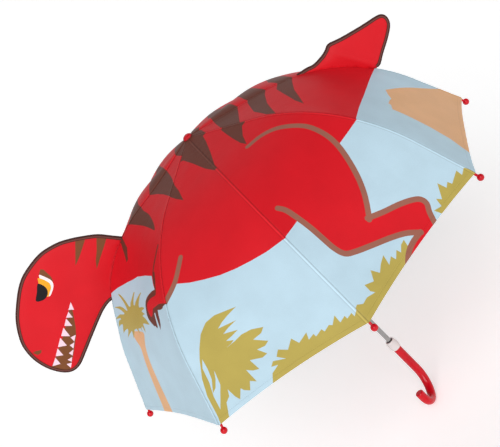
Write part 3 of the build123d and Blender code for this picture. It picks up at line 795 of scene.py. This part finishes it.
TEETH_LOWER = [((334, -95), (343, -101), (342, -92)), ((344, -102), (352, -108), (352, -100)),
               ((353, -109), (361, -115), (362, -108)), ((363, -116), (369, -121), (371, -114)),
               ((370, -122), (377, -127), (377, -118))]
HEAD_PRINT += [("tooth", "straight", tooth) for tooth in TEETH_UPPER + TEETH_LOWER]
TAIL_EDGE = [(184, -51), (200, -54), (212, -58), (226, -58), (238, -56), (247, -52), (252, -52),
             (270, -58), (292, -64), (312, -69), (330, -73), (339, -77), (343, -84), (342, -93),
             (336, -101), (322, -111), (306, -120), (293, -127), (284, -129), (279, -130)]
TAIL_BASE = seam_root((298, 280, 262, 244, 226, 208), lambda station: 0)


def to_outline(points, distance_to):
    """Distance from each point to a line of short runs."""
    a, b = distance_to[:-1], distance_to[1:]
    best = np.full(len(points), 1e9)
    for start, end in zip(a, b):
        way = end - start
        share = np.clip(((points - start) @ way) / (way @ way), 0, 1)
        best = np.minimum(best, np.linalg.norm(points - start - share[:, None] * way, axis=1))
    return best


def wadding(inset):
    """Half the thickness of a padded piece at a distance from its edge."""
    return 0.35 + 4.2 * (1 - np.exp(-inset / 11.0))


def padded_piece(name, azimuth, edge, base, prints, body, node, crease):
    """Two printed faces sewn edge to edge over thin wadding, standing in a rib's plane."""
    free = smooth(edge, step=4.0)
    sewn = smooth([edge[-1], *base, edge[0]], step=4.0)[1:-1]
    border = np.array([*free, *sewn])
    shapes = [(ink, smooth(p, closed=True, step=3.0) if kind == "smooth" else straight(p, step=4.0))
              for ink, kind, p in prints]
    low, high = border.min(axis=0), border.max(axis=0)
    grid = [(x + (2.2 if row % 2 else 0), z)
            for row, z in enumerate(np.arange(low[1] + 2, high[1], 3.8))
            for x in np.arange(low[0] + 2, high[0], 4.4)]
    grid = np.array(grid)
    closed = np.array([*border, border[0]])
    grid = grid[inside(grid, border)]
    grid = grid[to_outline(grid, closed) > 1.5]
    flat, faces = triangulate([border] + [o for _, o in shapes], [], grid)
    centre = flat[faces].mean(axis=1)
    kept = inside(centre, border)
    faces, centre = faces[kept], centre[kept]
    used, faces = np.unique(faces, return_inverse=True)
    faces, flat = faces.reshape(-1, 3), flat[used]
    ink = np.full(len(faces), INKS.index("red"))
    for colour, outline in shapes:
        ink[inside(centre, outline)] = INKS.index(colour)
    rim = to_outline(flat, np.array([*free]))
    root = to_outline(flat, np.array([free[-1], *sewn, free[0]]))
    near = np.minimum(rim, root + 3.0)
    thick = wadding(near)
    wrinkle = (0.45 * np.sin(flat[:, 0] / 11.0 + flat[:, 1] / 17.0)
               + 0.35 * np.sin(flat[:, 0] / 23.0 - flat[:, 1] / 13.0)
               + 0.30 * np.sin(np.sum(flat, axis=1) / 6.5) * np.exp(-rim / 9.0))
    thick = thick + wrinkle * (1 - np.exp(-near / 8.0))
    lean = crease(flat)
    ring = radians(azimuth)
    out = np.array([cos(ring), sin(ring), 0.0])
    side = np.array([0.0, 1.0, 0.0])
    up = np.array([0.0, 0.0, 1.0])
    at = flat[:, :1] * out + (APEX + flat[:, 1:]) * up
    front = at + (lean - thick)[:, None] * side
    back = at + (lean + thick)[:, None] * side
    size = len(flat)
    verts = np.concatenate([front, back])
    a, b, c = (front[faces[:, i]] for i in range(3))
    if np.cross(b - a, c - a)[:, 1].sum() > 0:
        faces = faces[:, ::-1]
    quads = [(b, a, a + size, b + size) for a, b in open_edges(faces, ink)]
    every = [*faces, *(faces[:, ::-1] + size), *quads]
    inks = [*ink, *ink, *([INKS.index("red")] * len(quads))]
    used_inks = sorted(set(inks))
    piece = mesh_object(name, verts, every, [PRINT[INKS[i]] for i in used_inks],
                        [used_inks.index(i) for i in inks],
                        cloth=np.concatenate([flat, flat + 1000.0]))
    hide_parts(node)
    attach(piece, body)
    tape = binding(f"{name}_binding", free, out, up, crease)
    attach(tape, body)


def binding(name, path, out, up, crease, width=4.3, thick=1.7):
    """Folded tape sewn over an edge, with a row of stitches on each face."""
    line = smooth(path[::2], step=2.0)
    way = np.gradient(line, axis=0)
    way /= np.linalg.norm(way, axis=1)[:, None]
    inward = np.stack([way[:, 1], -way[:, 0]], axis=1)
    section = [(-1.2, 0.0), (-0.9, 0.8), (0.0, 1.1), (width * 0.5, 1.0), (width - 1.6, 0.78),
               (width - 1.2, 0.55), (width - 0.8, 0.82), (width, 0.6), (width + 0.1, 0.1),
               (width, -0.6), (width - 0.8, -0.82), (width - 1.2, -0.55), (width - 1.6, -0.78),
               (width * 0.5, -1.0), (0.0, -1.1), (-0.9, -0.8)]
    verts, flat = [], []
    for i, (point, inside_way) in enumerate(zip(line, inward)):
        pinch = 1 + 0.10 * sin(i * 1.9) + 0.06 * sin(i * 0.7)
        for reach, lift in section:
            place = point + inside_way * reach
            lean = float(crease(np.array([place]))[0])
            edge = np.clip(reach, 0, 8)
            y = lean + np.sign(lift) * wadding(edge) + lift * thick / 2 * pinch
            verts.append(place[0] * out + (APEX + place[1]) * up + np.array([0, y, 0]))
            flat.append((i * 2.0, reach + lift))
    count = len(section)
    faces = [(i * count + j, i * count + (j + 1) % count, (i + 1) * count + (j + 1) % count,
              (i + 1) * count + j) for i in range(len(line) - 1) for j in range(count)]
    faces += [tuple(range(count)), tuple(range((len(line) - 1) * count, len(line) * count))[::-1]]
    return mesh_object(name, verts, faces, [BINDING], [0] * len(faces), cloth=flat)


def head_lean(flat):
    """The neck turns away a little where the head is sewn to the canopy."""
    share = np.clip((300 - flat[:, 0]) / 90, 0, 1) * np.clip((-30 - flat[:, 1]) / 50, 0, 1)
    return 5.0 * share ** 1.5


def tail_lean(flat):
    """The tail is folded over its root: a sharp crease, with the cloth beyond it leaning out."""
    start, end = np.array((243.0, -62.0)), np.array((286.0, -127.0))
    way = (end - start) / np.linalg.norm(end - start)
    beyond = (flat - start) @ np.array((-way[1], way[0]))
    along = np.clip((flat - start) @ way / 78, 0, 1)
    root = -7.5 * np.clip(1 + beyond / 22, 0, 1) * (beyond < 0)
    tip = (2.0 + 8.0 * along) * (1 - np.exp(-np.maximum(beyond, 0) / 6)) - 7.5
    return np.where(beyond > 0, tip, root) * along ** 0.5


padded_piece("animal_head", 180.0, HEAD_EDGE, HEAD_BASE, HEAD_PRINT, "rib_5_rod", "head", head_lean)
padded_piece("animal_tail", 0.0, TAIL_EDGE, TAIL_BASE, [], "rib_1_rod", "tail", tail_lean)

# ------------------------------------------------------------------ finishes of the CAD pieces
FINISH = {
    "chromed_shaft": metal("chrome_plate", (0.36, 0.355, 0.35, 1), 0.16, 0.10),
    "bright_steel": metal("bright_wire", (0.62, 0.62, 0.64, 1), 0.28, 0.3),
    "steel_rib": lacquered("rib_lacquer", (0.030, 0.030, 0.034, 1), 0.32),
    "sprung_rod": lacquered("rod_lacquer", (0.040, 0.040, 0.045, 1), 0.36),
    "black_plastic": moulded("runner_plastic", (0.022, 0.022, 0.024, 1), 0.42),
    "red_plastic": moulded("red_gloss_plastic", linear(200, 4, 26), 0.17, specular=0.3),
    "white_plastic": moulded("white_plastic", linear(222, 214, 212), 0.35),
}
for part in frame["record"]["subparts"]:
    finish = FINISH.get(part["material_slot"])
    if finish is not None:
        slots = frame["nodes"][part["node"]].data.materials
        slots.clear()
        slots.append(finish)

# ------------------------------------------------------------------ floor, light and camera
low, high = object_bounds()


def plain(name, colour, glow):
    n = Nodes(name)
    place = n.add("ShaderNodeTexCoord").outputs["Object"]
    n.join(n.tint(n.noise(place, 3.0), colour, 0.985), n.shader.inputs["Base Color"])
    n.set(Roughness=0.9, Specular_IOR_Level=0.1, Emission_Color=(1, 1, 1, 1), Emission_Strength=glow)
    return n.material


FLOOR_REACH = 400.0
floor_mesh = bpy.data.meshes.new("floor")
floor_mesh.from_pydata([(-FLOOR_REACH, -FLOOR_REACH, 0), (FLOOR_REACH, -FLOOR_REACH, 0),
                        (FLOOR_REACH, FLOOR_REACH, 0), (-FLOOR_REACH, FLOOR_REACH, 0)], [], [(0, 1, 2, 3)])
floor_mesh.materials.append(plain("pale_floor", (0.9, 0.9, 0.9, 1), 0.4))
floor = bpy.data.objects.new("floor", floor_mesh)
floor.location.z = low.z - 0.002
bpy.context.scene.collection.objects.link(floor)

world = bpy.data.worlds.new("studio")
world.use_nodes = True
# The sky is pale at the horizon and dim overhead.
sky = world.node_tree
sky.nodes["Background"].inputs["Color"].default_value = (1, 1, 1, 1)
direction = sky.nodes.new("ShaderNodeSeparateXYZ")
fade = sky.nodes.new("ShaderNodeMapRange")
fade.inputs["From Min"].default_value = 0.08
fade.inputs["From Max"].default_value = 0.40
fade.inputs["To Min"].default_value = 0.88
fade.inputs["To Max"].default_value = 0.14
sky.links.new(sky.nodes.new("ShaderNodeTexCoord").outputs["Generated"], direction.inputs[0])
sky.links.new(direction.outputs["Z"], fade.inputs["Value"])
sky.links.new(fade.outputs["Result"], sky.nodes["Background"].inputs["Strength"])
bpy.context.scene.world = world


def sun(name, azimuth, elevation, strength, spread):
    """A soft distant light that comes from this azimuth and elevation."""
    light = bpy.data.lights.new(name, "SUN")
    light.energy = strength
    light.angle = radians(spread)
    lamp = bpy.data.objects.new(name, light)
    a, e = radians(azimuth), radians(elevation)
    back = Vector((cos(a) * cos(e), sin(a) * cos(e), sin(e)))
    lamp.rotation_mode = "QUATERNION"
    lamp.rotation_quaternion = back.to_track_quat("Z", "Y")
    bpy.context.scene.collection.objects.link(lamp)


# Azimuth, elevation, strength and spread.
sun("key", -99, 31, 2.2, 45)
sun("top", 120, 70, 0.35, 60)
sun("back", 75, 30, 0.3, 60)
bpy.context.scene.view_settings.view_transform = "Standard"

CAMERA_PLACE = (0.00888, -1.70344, 0.89087)
azimuth, elevation, roll = radians(1.149), radians(17.520), radians(-45.060)
right = Vector((cos(azimuth), sin(azimuth), 0))
back = Vector((sin(azimuth) * cos(elevation), -cos(azimuth) * cos(elevation), sin(elevation)))
up = back.cross(right)
across = right * cos(roll) + up * sin(roll)
upright = up * cos(roll) - right * sin(roll)
camera = bpy.data.objects.new("camera", bpy.data.cameras.new("camera"))
camera.data.sensor_width = 36.0
camera.data.lens = 83.25
turn = Matrix((across, upright, back)).transposed()
camera.matrix_world = Matrix.Translation(CAMERA_PLACE) @ turn.to_4x4()
bpy.context.scene.collection.objects.link(camera)
bpy.context.scene.camera = camera
